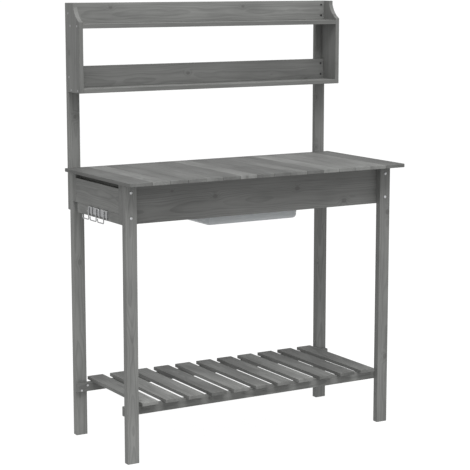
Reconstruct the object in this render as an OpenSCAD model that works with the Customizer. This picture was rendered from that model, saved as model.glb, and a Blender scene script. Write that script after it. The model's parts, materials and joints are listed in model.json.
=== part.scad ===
// Potting bench: four board legs, a planked worktop with a lift-off middle section over a basin,
// a slatted lower shelf, three wire hooks on the left side and a two-shelf hutch at the back.
// Millimetres, +Z up, front towards -Y. The origin is on the floor under the middle of the bench.

/* [Worktop] */
// Width of the worktop, left to right
top_w = 1080; // [1070:1:1120]
// How far the worktop stands out in front of the legs
top_overhang = 66; // [40:1:90]
// Height of the worktop's upper face above the floor
top_z = 941; // [930:1:950]
// Thickness of the worktop planks
top_t = 12; // [11:1:15]
// Width of the lift-off middle section
cover_w = 392; // [390:1:396]
// Gap between neighbouring planks
plank_gap = 0.5; // [0.3:0.1:1]
// Radius of the worktop's two front corners
top_corner_r = 9; // [4:1:15]

/* [Frame] */
// Width across the outer faces of the legs
leg_span = 1045; // [1040:1:1060]
// Depth from the front of the front legs to the back of the rear legs
leg_depth = 422; // [420:1:440]
// Width of a leg board
leg_w = 42; // [42:1:46]
// Thickness of a leg board
leg_t = 24; // [24:1:26]
// Thickness of the front and rear aprons
apron_t = 24; // [24:1:26]
// Height of the front apron
apron_h = 134; // [130:1:136]
// Height of the rear apron
rear_apron_h = 100; // [98:1:104]
// Thickness of the side aprons and the rails below them
side_t = 18; // [17:1:20]
// Slot left between a side apron and the worktop
side_slot = 17; // [16:1:18]
// Height of the rail below each side apron
side_rail_h = 34; // [32:1:36]
// Thickness of the battens under the planks
batten_t = 15; // [14:1:15]
// Width of the battens under the planks
batten_w = 30; // [26:1:32]

/* [Lower shelf] */
// Height of the slats' upper face above the floor
shelf_z = 202; // [180:1:240]
// Thickness of a slat
slat_t = 12; // [11:1:15]
// Width of a slat
slat_w = 60; // [50:1:64]
// Number of slats
slat_n = 11; // [11:1:11]
// Height of the two rails under the slats
shelf_rail_h = 32; // [30:1:40]
// Thickness of the rails under the slats
shelf_rail_t = 15; // [15:1:18]

/* [Hutch] */
// Height of the bench to the top of the uprights
bench_h = 1500; // [1490:1:1520]
// Thickness of the two uprights behind the rear legs
upright_t = 16; // [16:1:20]
// Overlap of an upright with its rear leg, below the worktop's underside
upright_lap = 133; // [120:1:150]
// Thickness of the hutch's boards
hutch_t = 15; // [14:1:16]
// Depth of the hutch, front to back
hutch_d = 94; // [90:1:100]
// Height of the side panels
panel_h = 300; // [296:1:304]
// Depth of a side panel at its top
panel_top_d = 50; // [45:1:55]
// Height of the straight edge at the top of a side panel
panel_lip = 13; // [10:1:16]
// Height of the curved stretch below that edge
panel_curve_h = 50; // [45:1:52]
// Radius of the curved stretch
panel_curve_r = 83; // [75:1:100]
// Height of the upper shelf's upper face above the foot of the side panels
upper_shelf_z = 231; // [225:1:235]
// Height of the lower back board above its shelf
lower_back_h = 72; // [66:1:80]

/* [Basin] */
// Width of the basin's rim, left to right
rim_w = 388; // [380:1:388]
// Depth of the basin's rim, front to back
rim_d = 310; // [300:1:314]
// Thickness of the rim
rim_t = 3; // [2:1:4]
// Width of the rim's flange outside the basin's wall
rim_flange = 7; // [7:1:9]
// Depth of the basin below its rim
basin_h = 145; // [120:1:160]
// Wall thickness of the basin
basin_t = 2; // [2:0.5:3]
// Radius of the basin's lower edge
basin_edge_r = 14; // [10:1:18]
// How much narrower the basin is at its foot, on each side
basin_draft = 5; // [3:1:8]
// Width of the rails that the basin hangs on
basin_rail_w = 18; // [16:1:20]
// Height of the rails that the basin hangs on
basin_rail_h = 39; // [30:1:45]

/* [Hooks] */
// Diameter of the hook wire
wire_d = 4; // [3:0.5:4]
// Distance between neighbouring hooks
hook_pitch = 57; // [56:1:60]
// Distance between a hook's two uprights on the rail
hook_w = 24; // [20:1:26]
// Length of a hook's arm
arm_l = 46; // [40:1:48]
// How far an arm hangs below the rail
arm_drop = 12; // [10:1:16]
// Thickness of the plate behind the hooks
plate_t = 1.5; // [1:0.5:2]

/* [Fasteners] */
// Radius of a bolt's shank
bolt_r = 3; // [2.5:0.5:3]
// Radius of a bolt's head
bolt_head_r = 5; // [4:0.5:5]
// Height of a bolt's head
bolt_head_h = 3; // [2:0.5:3]
// Radius of a wood screw's shank
screw_r = 1.9; // [1.5:0.1:2]
// Radius of a wood screw's head
screw_head_r = 4; // [3:0.5:4]
// Height of a wood screw's countersunk head
screw_head_h = 2.6; // [2:0.2:3]
// Clearance round every bolt and screw
fit_gap = 0.1; // [0.1:0.05:0.3]

/* [Hidden] */
$fn = 32;
wood_a = "#868886";
wood_b = "#7b7d7b";
wood_c = "#8f918e";
zinc = "#b9bcc0";
dark_zinc = "#4a4b4d";
tub_white = "#cfd5da";

// Front to back: the bench is centred on Y = 0, from the worktop's front to the uprights' back
bench_d = top_overhang + leg_depth + upright_t;
front_y = -bench_d / 2;
leg_y = front_y + top_overhang;
rear_leg_y = leg_y + leg_depth - leg_t;
back_y = leg_y + leg_depth;
apron_y = leg_y + leg_t;
inside_front_y = apron_y + apron_t;
inside_back_y = rear_leg_y - apron_t;

// Left to right: half widths
half_top = top_w / 2;
half_span = leg_span / 2;
half_cover = cover_w / 2;
side_in_x = half_span - side_t;
leg_mid_x = half_span - leg_w / 2;
side_mid_x = half_span - side_t / 2;

// Heights
under_top_z = top_z - top_t;
batten_z = under_top_z - batten_t;
front_apron_z = under_top_z - apron_h;
rear_apron_z = under_top_z - rear_apron_h;
side_rail_z = front_apron_z;
side_apron_z = side_rail_z + side_rail_h;
side_apron_top = under_top_z - side_slot;
slat_z = shelf_z - slat_t;
shelf_rail_z = slat_z - shelf_rail_h;

// Worktop planks: two sections of five with a wide end plank each, and six in the cover
side_plank_n = 5;
cover_plank_n = 6;
plank_n = 2 * side_plank_n + cover_plank_n;
plank_pitch = cover_w / cover_plank_n;
end_plank_w = half_top - half_cover - (side_plank_n - 1) * plank_pitch;
function plank_left(i) = i == 0 ? -half_top : -half_top + end_plank_w + (i - 1) * plank_pitch;
function plank_right(i) = i == plank_n - 1 ? half_top : plank_left(i + 1);
function plank_mid(i) = (plank_left(i) + plank_right(i)) / 2;

// Battens under the planks, just inside the front and rear aprons
batten_inset = 4;
batten_ys = [inside_front_y + batten_inset, inside_back_y - batten_inset - batten_w];
cover_batten_short = 6;
cover_batten_half = half_cover - cover_batten_short;

// Lower shelf: the slats lie between the legs and run past the rails
slat_margin = 13.5;
slat_field = half_span - leg_w - slat_margin;
slat_pitch = (2 * slat_field - slat_w) / (slat_n - 1);
function slat_left(i) = -slat_field + i * slat_pitch;

// Hutch
panel_z = bench_h - panel_h;
hutch_y = back_y - hutch_d;
panel_in_x = half_span - hutch_t;
upper_shelf_top = panel_z + upper_shelf_z;
lower_shelf_top = panel_z + hutch_t;
lower_back_top = lower_shelf_top + lower_back_h;
back_board_y = back_y - hutch_t;
curve_top_z = bench_h - panel_lip;
curve_low_z = curve_top_z - panel_curve_h;
curve_top_y = back_y - panel_top_d;

// Basin
rebate_h = 9;
rim_z = batten_z - rebate_h;
basin_mid_y = (inside_front_y + inside_back_y) / 2;
basin_half_w = rim_w / 2 - rim_flange;
basin_half_d = rim_d / 2 - rim_flange;
basin_side_gap = 2;
basin_rail_in_x = basin_half_w + basin_side_gap;
rebate_x = rim_w / 2 + basin_side_gap;
basin_corner_r = basin_edge_r + 8;
rail_screw_x = (rebate_x + basin_rail_in_x + basin_rail_w) / 2;

// Hooks: a thin plate lies on the rail's outer face, and the wire lies on the plate
wire_gap = 0.2;
hook_x = -half_span - plate_t - wire_gap - wire_d / 2;
hook_top_z = side_apron_z - wire_d / 2;
hook_n = 3;
hook_setback = 140.5;
first_hook_y = leg_y + hook_setback;
bend_r = 5;
stub_l = 9;
stub_rise = 6;
stub_z = side_rail_z + stub_rise;
arm_z = side_rail_z - arm_drop;
tip_h = 5;
staple_r = 0.9;
staple_z = side_rail_z + side_rail_h / 2;
staple_l = 8;
staple_half = wire_d / 2 + staple_r + wire_gap;
function hook_y(i) = first_hook_y + i * hook_pitch;
plate_past_wire = 3;
plate_stub_gap = 0.5;
plate_corner_r = 3;
plate_reach = hook_w / 2 + wire_d / 2 + plate_past_wire;
plate_front_y = hook_y(0) - plate_reach;
plate_back_y = hook_y(hook_n - 1) + plate_reach;
plate_foot_z = stub_z + wire_d / 2 + plate_stub_gap;
plate_top_z = side_apron_z - 1;

// Fasteners. Each is [place of the head's outer face or seat, turn, length below it].
// Unturned, a fastener points down.
to_back = [90, 0, 0];
to_front = [-90, 0, 0];
to_right = [0, -90, 0];
to_left = [0, 90, 0];
to_top = [180, 0, 0];
sides = [-1, 1];
upper_bolt_drop = 27;
front_bolt_drop = 110;
rear_bolt_drop = 79;
bolt_zs = [under_top_z - upper_bolt_drop, under_top_z - front_bolt_drop];
rear_bolt_zs = [under_top_z - upper_bolt_drop, under_top_z - rear_bolt_drop];
bolt_inset = 6;
front_bolt_l = leg_t + apron_t - bolt_inset;
rear_bolt_l = upright_t + leg_t + apron_t - bolt_inset - bolt_head_h;
front_bolts = [for (s = sides, z = bolt_zs) [[s * leg_mid_x, leg_y, z], to_back, front_bolt_l]];
rear_seat_y = back_y + upright_t - bolt_head_h;
rear_bolts = [for (s = sides, z = rear_bolt_zs)
    [[s * leg_mid_x, rear_seat_y, z], to_front, rear_bolt_l]];

// Wood left in front of a hidden screw's tip
tip_cover = 4;
corner_l = 60;
corner_drops = [79, 39];
corner_zs = [for (d = corner_drops) under_top_z - d];
side_front_screws = [for (s = sides, z = corner_zs) [[s * side_mid_x, apron_y, z], to_back, corner_l]];
side_back_screws = [for (s = sides, z = corner_zs)
    [[s * side_mid_x, rear_leg_y, z], to_front, corner_l]];
rail_mid_z = side_rail_z + side_rail_h / 2;
rail_end_screws = [for (s = sides) [[s * side_mid_x, apron_y, rail_mid_z], to_back, corner_l]];
rail_up_insets = [52, 54];
rail_up_ys = [inside_front_y + rail_up_insets[0], inside_back_y - rail_up_insets[1]];
rail_up_screws = [for (s = sides, y = rail_up_ys) [[s * side_mid_x, y, side_rail_z], to_top, corner_l]];

// Two screws at each end of a shelf rail: in from the leg's outer face, and up from the rail's foot
shelf_pair = [[15.5, 5], [38.5, 21]];
shelf_end_l = 30;
front_rail_back_y = apron_y + shelf_rail_t;
rear_rail_y = rear_leg_y - shelf_rail_t;
front_shelf_screws = [for (s = sides, p = shelf_pair)
    [[s * (half_span - p[0]), front_rail_back_y, shelf_rail_z + p[1]], to_front, shelf_end_l]];
rear_shelf_screws = [for (s = sides, p = shelf_pair)
    [[s * (half_span - p[0]), rear_rail_y, shelf_rail_z + p[1]], to_back, shelf_end_l]];
slat_screw_ys = [apron_y + shelf_rail_t / 2, rear_leg_y - shelf_rail_t / 2];
slat_screw_l = shelf_rail_h + slat_t - tip_cover;
function slat_screws(i) = [for (y = slat_screw_ys)
    [[slat_left(i) + slat_w / 2, y, shelf_rail_z], to_top, slat_screw_l]];
all_slat_screws = [for (i = [0 : slat_n - 1], s = slat_screws(i)) s];

plank_screw_l = batten_t + top_t - tip_cover;
end_screw_inset = 19;
end_screw_x = side_in_x - end_screw_inset;
function plank_screw_x(i) = max(-end_screw_x, min(end_screw_x, plank_mid(i)));
function plank_screws(i) = [for (y = batten_ys)
    [[plank_screw_x(i), y + batten_w / 2, batten_z], to_top, plank_screw_l]];
function in_cover(i) = i >= side_plank_n && i < side_plank_n + cover_plank_n;
cover_screw_list = [for (i = [0 : plank_n - 1]) if (in_cover(i)) each plank_screws(i)];
side_plank_screws = [for (i = [0 : plank_n - 1]) if (!in_cover(i)) each plank_screws(i)];
basin_rail_l = basin_rail_h + batten_t - tip_cover;
basin_rail_screws = [for (s = sides, y = batten_ys)
    [[s * rail_screw_x, y + batten_w / 2, batten_z - basin_rail_h], to_top, basin_rail_l]];

panel_screw_l = 40;
shelf_screw_insets = [18.5, 23.5];
shelf_screw_ys = [hutch_y + shelf_screw_insets[0], back_y - shelf_screw_insets[1]];
shelf_mid_zs = [lower_shelf_top - hutch_t / 2, upper_shelf_top - hutch_t / 2];
back_mid_y = back_y - hutch_t / 2;
back_zs = [(lower_shelf_top + lower_back_top) / 2, (upper_shelf_top + bench_h) / 2];
panel_spots = concat(
    [for (y = shelf_screw_ys, z = shelf_mid_zs) [y, z]],
    [for (z = back_zs) [back_mid_y, z]]);
panel_screws = concat(
    [for (p = panel_spots) [[-half_span, p[0], p[1]], to_right, panel_screw_l]],
    [for (p = panel_spots) [[half_span, p[0], p[1]], to_left, panel_screw_l]]);
back_screw_l = hutch_t + upright_t - tip_cover;
back_screw_inset = 27.5;
back_screw_step = 19.5;
back_screw_x = half_span - back_screw_inset;
back_screw_list = [for (s = sides, z = back_zs, d = [-back_screw_step, back_screw_step])
    [[s * back_screw_x, back_board_y, z + d], to_back, back_screw_l]];

slat_names = [for (i = [1 : slat_n]) str("shelf_slat_", i < 10 ? "0" : "", i)];
plank_names = [for (i = [1 : plank_n]) str("top_plank_", i < 10 ? "0" : "", i)];

// How far a cut runs past the faces it opens
over = 1;

// Box between two opposite corners
module box(low, high) {
    translate(low) cube(high - low);
}

// Wood screw with a countersunk head, its outer face at Z = 0; grow widens it into its own bore
module wood_screw(length, grow = 0) {
    tip = 4;
    mouth = grow > 0 ? over : 0;
    rotate_extrude() polygon([
        [0, mouth], [screw_head_r + grow, mouth], [screw_head_r + grow, 0],
        [screw_r + grow, -screw_head_h], [screw_r + grow, -length + tip],
        [0, -length - grow]]);
}

// Bolt with a low round head that sits on Z = 0
module bolt(length) {
    edge = bolt_head_h / 2;
    rotate_extrude() polygon([
        [0, bolt_head_h], [bolt_head_r - edge, bolt_head_h], [bolt_head_r, edge],
        [bolt_head_r, 0], [bolt_r, 0], [bolt_r, -length], [0, -length]]);
}

module screws(list) {
    for (s = list) translate(s[0]) rotate(s[1]) wood_screw(s[2]);
}

module screw_bores(list) {
    for (s = list) translate(s[0]) rotate(s[1]) wood_screw(s[2], fit_gap);
}

module bolts(list) {
    for (b = list) translate(b[0]) rotate(b[1]) bolt(b[2]);
}

// Bores for the bolts, with a counterbore as deep as the head
module bolt_bores(list) {
    for (b = list) translate(b[0]) rotate(b[1]) {
        translate([0, 0, -b[2] - fit_gap]) cylinder(r = bolt_r + fit_gap, h = b[2] + over);
        cylinder(r = bolt_head_r + fit_gap, h = bolt_head_h + over);
    }
}

// A leg board; side is -1 on the left and 1 on the right
module leg(side, y) {
    x = side * leg_mid_x - leg_w / 2;
    difference() {
        box([x, y, 0], [x + leg_w, y + leg_t, under_top_z]);
        bolt_bores(y < 0 ? front_bolts : rear_bolts);
        screw_bores(y < 0 ? front_shelf_screws : rear_shelf_screws);
    }
}

module upright(side) {
    x = side * leg_mid_x - leg_w / 2;
    difference() {
        box([x, back_y, under_top_z - upright_lap], [x + leg_w, back_y + upright_t, bench_h]);
        bolt_bores(rear_bolts);
        screw_bores(back_screw_list);
    }
}

module apron_front() {
    color(wood_b) difference() {
        box([-half_span, apron_y, front_apron_z], [half_span, inside_front_y, under_top_z]);
        bolt_bores(front_bolts);
        screw_bores(side_front_screws);
        screw_bores(rail_end_screws);
    }
}

module apron_rear() {
    color(wood_b) difference() {
        box([-half_span, inside_back_y, rear_apron_z], [half_span, rear_leg_y, under_top_z]);
        bolt_bores(rear_bolts);
        screw_bores(side_back_screws);
    }
}

module side_apron(side) {
    x = side * side_mid_x - side_t / 2;
    color(wood_b) difference() {
        box([x, inside_front_y, side_apron_z], [x + side_t, inside_back_y, side_apron_top]);
        screw_bores(side_front_screws);
        screw_bores(side_back_screws);
        screw_bores(rail_up_screws);
    }
}

// Rail below a side apron; it stops short of the rear apron
module side_rail(side) {
    x = side * side_mid_x - side_t / 2;
    rear_gap = 12;
    difference() {
        box([x, inside_front_y, side_rail_z], [x + side_t, inside_back_y - rear_gap, side_apron_z]);
        screw_bores(rail_end_screws);
        screw_bores(rail_up_screws);
    }
}

module hook_rail_left() {
    color(wood_b) difference() {
        side_rail(-1);
        for (i = [0 : hook_n - 1]) hook_bores(hook_y(i));
    }
}

// Side panel of the hutch: deep below, shallow at the top, with a hollow curve between
module hutch_panel(side) {
    x = side * (half_span - hutch_t / 2) - hutch_t / 2;
    low = [hutch_y, curve_low_z];
    top = [curve_top_y, curve_top_z];
    mid = (low + top) / 2;
    run = top - low;
    reach = sqrt(panel_curve_r * panel_curve_r - norm(run) * norm(run) / 4);
    centre = mid + reach * [-run[1], run[0]] / norm(run);
    color(wood_a) difference() {
        box([x, hutch_y, panel_z], [x + hutch_t, back_y, bench_h]);
        box([x - over, hutch_y - over, curve_top_z], [x + hutch_t + over, curve_top_y, bench_h + over]);
        intersection() {
            translate([x - over, centre[0], centre[1]]) rotate([0, 90, 0])
                cylinder(r = panel_curve_r, h = hutch_t + 2 * over, $fn = 96);
            box([x - over, hutch_y - over, curve_low_z], [x + hutch_t + over, curve_top_y, curve_top_z]);
        }
        screw_bores(panel_screws);
    }
}

module hutch_shelf(top) {
    color(wood_c) difference() {
        box([-panel_in_x, hutch_y, top - hutch_t], [panel_in_x, back_y, top]);
        screw_bores(panel_screws);
    }
}

module hutch_back(low, high) {
    color(wood_a) difference() {
        box([-panel_in_x, back_board_y, low], [panel_in_x, back_y, high]);
        screw_bores(panel_screws);
        screw_bores(back_screw_list);
    }
}

module shelf_rail_front() {
    color(wood_b) difference() {
        box([-half_span, apron_y, shelf_rail_z], [half_span, front_rail_back_y, slat_z]);
        screw_bores(front_shelf_screws);
        screw_bores(all_slat_screws);
    }
}

module shelf_rail_rear() {
    color(wood_b) difference() {
        box([-half_span, rear_rail_y, shelf_rail_z], [half_span, rear_leg_y, slat_z]);
        screw_bores(rear_shelf_screws);
        screw_bores(all_slat_screws);
    }
}

module shelf_slat(i) {
    color(wood_a) difference() {
        box([slat_left(i), leg_y, slat_z], [slat_left(i) + slat_w, back_y, shelf_z]);
        screw_bores(slat_screws(i));
    }
}

// Worktop plank i, counted from the left; the two end planks have a rounded front corner
module top_plank(i) {
    left = plank_left(i) + (i == 0 ? 0 : plank_gap / 2);
    right = plank_right(i) - (i == plank_n - 1 ? 0 : plank_gap / 2);
    color(in_cover(i) ? wood_a : wood_c) difference() {
        box([left, front_y, under_top_z], [right, back_y, top_z]);
        screw_bores(plank_screws(i));
        if (i == 0) front_corner(left, 1);
        if (i == plank_n - 1) front_corner(right, -1);
    }
}

// What is cut off a front corner at x; inward is the direction of the worktop's middle
module front_corner(x, inward) {
    r = top_corner_r;
    mid_x = x + inward * r;
    difference() {
        box([min(x - inward * over, mid_x), front_y - over, under_top_z - over],
            [max(x - inward * over, mid_x), front_y + r, top_z + over]);
        translate([mid_x, front_y + r, under_top_z - 2 * over])
            cylinder(r = r, h = top_t + 4 * over, $fn = 48);
    }
}

module top_battens() {
    color(wood_b) difference() {
        for (s = sides, y = batten_ys) {
            inner = half_cover + plank_gap;
            x = s > 0 ? inner : -side_in_x;
            box([x, y, batten_z], [x + side_in_x - inner, y + batten_w, under_top_z]);
        }
        screw_bores(side_plank_screws);
        screw_bores(basin_rail_screws);
    }
}

module cover_battens() {
    color(wood_b) difference() {
        for (y = batten_ys)
            box([-cover_batten_half, y, batten_z], [cover_batten_half, y + batten_w, under_top_z]);
        screw_bores(cover_screw_list);
    }
}

// Rail that carries one side of the basin, with a rebate for the rim
module basin_rail(side) {
    low = [basin_rail_in_x, inside_front_y, batten_z - basin_rail_h];
    high = [basin_rail_in_x + basin_rail_w, inside_back_y, batten_z];
    color(wood_b) difference() {
        mirror([side < 0 ? 1 : 0, 0, 0]) difference() {
            box(low, high);
            box([low[0] - over, low[1] - over, rim_z], [rebate_x, high[1] + over, high[2] + over]);
        }
        screw_bores(basin_rail_screws);
    }
}

// Rounded tray between a foot and a rim; it is the basin's outside, and smaller its inside
module tray(inset, foot_z, top) {
    w = basin_half_w - inset;
    d = basin_half_d - inset;
    corner = basin_corner_r - inset;
    edge = basin_edge_r - inset;
    hull() for (sx = sides, sy = sides) {
        translate([sx * (w - corner), basin_mid_y + sy * (d - corner), top - over])
            cylinder(r = corner, h = over);
        translate([sx * (w - basin_draft - edge), basin_mid_y + sy * (d - basin_draft - edge),
                   foot_z + edge]) sphere(r = edge);
    }
}

module basin() {
    corner = basin_corner_r + rim_flange;
    color(tub_white) difference() {
        union() {
            tray(0, rim_z - basin_h, rim_z + rim_t / 2);
            for (t = [[rim_w, rim_d - 2 * corner], [rim_w - 2 * corner, rim_d]])
                box([-t[0] / 2, basin_mid_y - t[1] / 2, rim_z],
                    [t[0] / 2, basin_mid_y + t[1] / 2, rim_z + rim_t]);
            for (sx = sides, sy = sides)
                translate([sx * (rim_w / 2 - corner), basin_mid_y + sy * (rim_d / 2 - corner), rim_z])
                    cylinder(r = corner, h = rim_t);
        }
        tray(basin_t, rim_z - basin_h + basin_t, rim_z + rim_t + 2 * over);
    }
}

// Straight wire between two points that differ along one axis
module wire(a, b) {
    run = b - a;
    turn = run[0] != 0 ? [0, 90, 0] : run[1] != 0 ? [-90, 0, 0] : [0, 0, 0];
    flip = run[0] + run[1] + run[2] < 0;
    translate(flip ? b : a) rotate(turn) cylinder(d = wire_d, h = norm(run));
}

// Quarter bend in a plane of constant X; quarter counts 90 degree turns from +Y towards +Z
module bend(centre, quarter) {
    translate(centre) rotate([quarter * 90, 0, 0]) rotate([90, 0, 90])
        rotate_extrude(angle = 90) translate([bend_r, 0]) circle(d = wire_d);
}

// Hook of one wire: a stub in the rail, up, over, down past the rail, an arm and its turned-up tip
module hook(y) {
    front = y - hook_w / 2;
    back = y + hook_w / 2;
    x = hook_x;
    arm_end = back + arm_l;
    color(zinc) {
        wire([x, front, stub_z], [x + stub_l, front, stub_z]);
        translate([x, front, stub_z]) sphere(d = wire_d);
        wire([x, front, stub_z], [x, front, hook_top_z - bend_r]);
        bend([x, front + bend_r, hook_top_z - bend_r], 1);
        wire([x, front + bend_r, hook_top_z], [x, back - bend_r, hook_top_z]);
        bend([x, back - bend_r, hook_top_z - bend_r], 0);
        wire([x, back, hook_top_z - bend_r], [x, back, arm_z + bend_r]);
        bend([x, back + bend_r, arm_z + bend_r], 2);
        wire([x, back + bend_r, arm_z], [x, arm_end - bend_r, arm_z]);
        bend([x, arm_end - bend_r, arm_z + bend_r], 3);
        wire([x, arm_end, arm_z + bend_r], [x, arm_end, arm_z + bend_r + tip_h]);
        translate([x, arm_end, arm_z + bend_r + tip_h]) sphere(d = wire_d);
    }
}

// Bores in the rail for a hook's stub and for its staple
module hook_bores(y) {
    front = y - hook_w / 2;
    back = y + hook_w / 2;
    translate([hook_x, front, stub_z]) rotate([0, 90, 0])
        cylinder(d = wire_d + 2 * fit_gap, h = stub_l + fit_gap);
    for (s = sides)
        translate([hook_x, back + s * staple_half, staple_z]) rotate([0, 90, 0])
            cylinder(r = staple_r + fit_gap, h = staple_l + wire_d + plate_t);
}

// Thin plate with round corners between the rail and the hooks; the staples go through it
module hook_plate() {
    x = -half_span - plate_t;
    r = plate_corner_r;
    color(zinc) difference() {
        union() {
            box([x, plate_front_y + r, plate_foot_z], [-half_span, plate_back_y - r, plate_top_z]);
            box([x, plate_front_y, plate_foot_z + r], [-half_span, plate_back_y, plate_top_z - r]);
            for (y = [plate_front_y + r, plate_back_y - r], z = [plate_foot_z + r, plate_top_z - r])
                translate([x, y, z]) rotate([0, 90, 0]) cylinder(r = r, h = plate_t);
        }
        for (i = [0 : hook_n - 1]) hook_bores(hook_y(i));
    }
}

// Staple that holds a hook's long upright and the plate to the rail
module staple(y) {
    crown_x = hook_x - staple_half;
    prong_l = -half_span + staple_l - crown_x;
    for (s = sides) {
        translate([crown_x, y + s * staple_half, staple_z]) {
            sphere(r = staple_r);
            rotate([0, 90, 0]) cylinder(r = staple_r, h = prong_l);
        }
    }
    translate([crown_x, y - staple_half, staple_z]) rotate([-90, 0, 0])
        cylinder(r = staple_r, h = 2 * staple_half);
}

module leg_bolts() {
    color(zinc) {
        bolts(front_bolts);
        bolts(rear_bolts);
    }
}

module frame_screws() {
    color(zinc) {
        screws(side_front_screws);
        screws(side_back_screws);
        screws(rail_end_screws);
        screws(rail_up_screws);
        screws(front_shelf_screws);
        screws(rear_shelf_screws);
        screws(all_slat_screws);
        screws(side_plank_screws);
        screws(basin_rail_screws);
        screws(panel_screws);
        for (i = [0 : hook_n - 1]) staple(hook_y(i) + hook_w / 2);
    }
}

color(wood_a) leg(-1, leg_y);  // leg_front_left
color(wood_a) leg(1, leg_y);  // leg_front_right
color(wood_a) leg(-1, rear_leg_y);  // leg_rear_left
color(wood_a) leg(1, rear_leg_y);  // leg_rear_right
color(wood_a) upright(-1);  // upright_left
color(wood_a) upright(1);  // upright_right
apron_front();
apron_rear();
side_apron(-1);  // side_apron_left
side_apron(1);  // side_apron_right
hook_rail_left();
color(wood_b) side_rail(1);  // side_rail_right
hutch_panel(-1);  // hutch_panel_left
hutch_panel(1);  // hutch_panel_right
hutch_shelf(lower_shelf_top);  // hutch_shelf_lower
hutch_shelf(upper_shelf_top);  // hutch_shelf_upper
hutch_back(lower_shelf_top, lower_back_top);  // hutch_back_lower
hutch_back(upper_shelf_top, bench_h);  // hutch_back_upper
shelf_rail_front();
shelf_rail_rear();
top_battens();
cover_battens();
basin_rail(-1);  // basin_rail_left
basin_rail(1);  // basin_rail_right
basin();
hook_plate();
hook(hook_y(0));  // hook_front
hook(hook_y(1));  // hook_middle
hook(hook_y(2));  // hook_rear
leg_bolts();
frame_screws();
color(dark_zinc) screws(back_screw_list);  // back_screws
color(zinc) screws(cover_screw_list);  // cover_screws
for (i = [0 : slat_n - 1]) shelf_slat(i);
for (i = [0 : plank_n - 1]) top_plank(i);
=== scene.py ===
"""Potting bench in grey-stained softwood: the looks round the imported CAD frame.

Every board is rebuilt as a rounded mesh in its CAD node's own box, with real countersinks where a
fastener enters it. Screws, bolts, the staples and the basin are rebuilt with their small detail, and
the hooks and their plate keep their CAD mesh. Lengths are in metres, in the frame of the CAD part.
"""
import json
import math
import random

import bmesh
import bpy
from mathutils import Matrix, Vector


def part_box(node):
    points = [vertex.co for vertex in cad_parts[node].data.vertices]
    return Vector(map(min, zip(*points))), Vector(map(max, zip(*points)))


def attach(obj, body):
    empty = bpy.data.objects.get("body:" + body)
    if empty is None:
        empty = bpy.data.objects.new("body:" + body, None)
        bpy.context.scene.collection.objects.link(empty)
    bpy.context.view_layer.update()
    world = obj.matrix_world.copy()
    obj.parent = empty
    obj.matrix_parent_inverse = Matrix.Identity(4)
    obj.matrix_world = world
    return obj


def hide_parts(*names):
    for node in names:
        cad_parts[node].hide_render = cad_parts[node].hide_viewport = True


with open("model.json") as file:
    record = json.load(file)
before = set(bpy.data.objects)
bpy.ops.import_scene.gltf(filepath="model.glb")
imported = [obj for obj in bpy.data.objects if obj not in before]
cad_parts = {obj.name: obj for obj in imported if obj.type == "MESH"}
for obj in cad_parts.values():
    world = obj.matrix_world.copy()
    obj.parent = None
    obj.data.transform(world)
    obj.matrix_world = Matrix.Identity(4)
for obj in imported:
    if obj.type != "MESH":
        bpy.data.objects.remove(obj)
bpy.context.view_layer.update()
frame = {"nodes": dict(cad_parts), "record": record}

MM = 0.001
X, Y, Z = 0, 1, 2
WHITE = (1.0, 1.0, 1.0, 1.0)
# Every random choice is drawn from here, in the order in which the pieces are made
chance = random.Random(41)


# ---------------------------------------------------------------- node helpers


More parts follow.
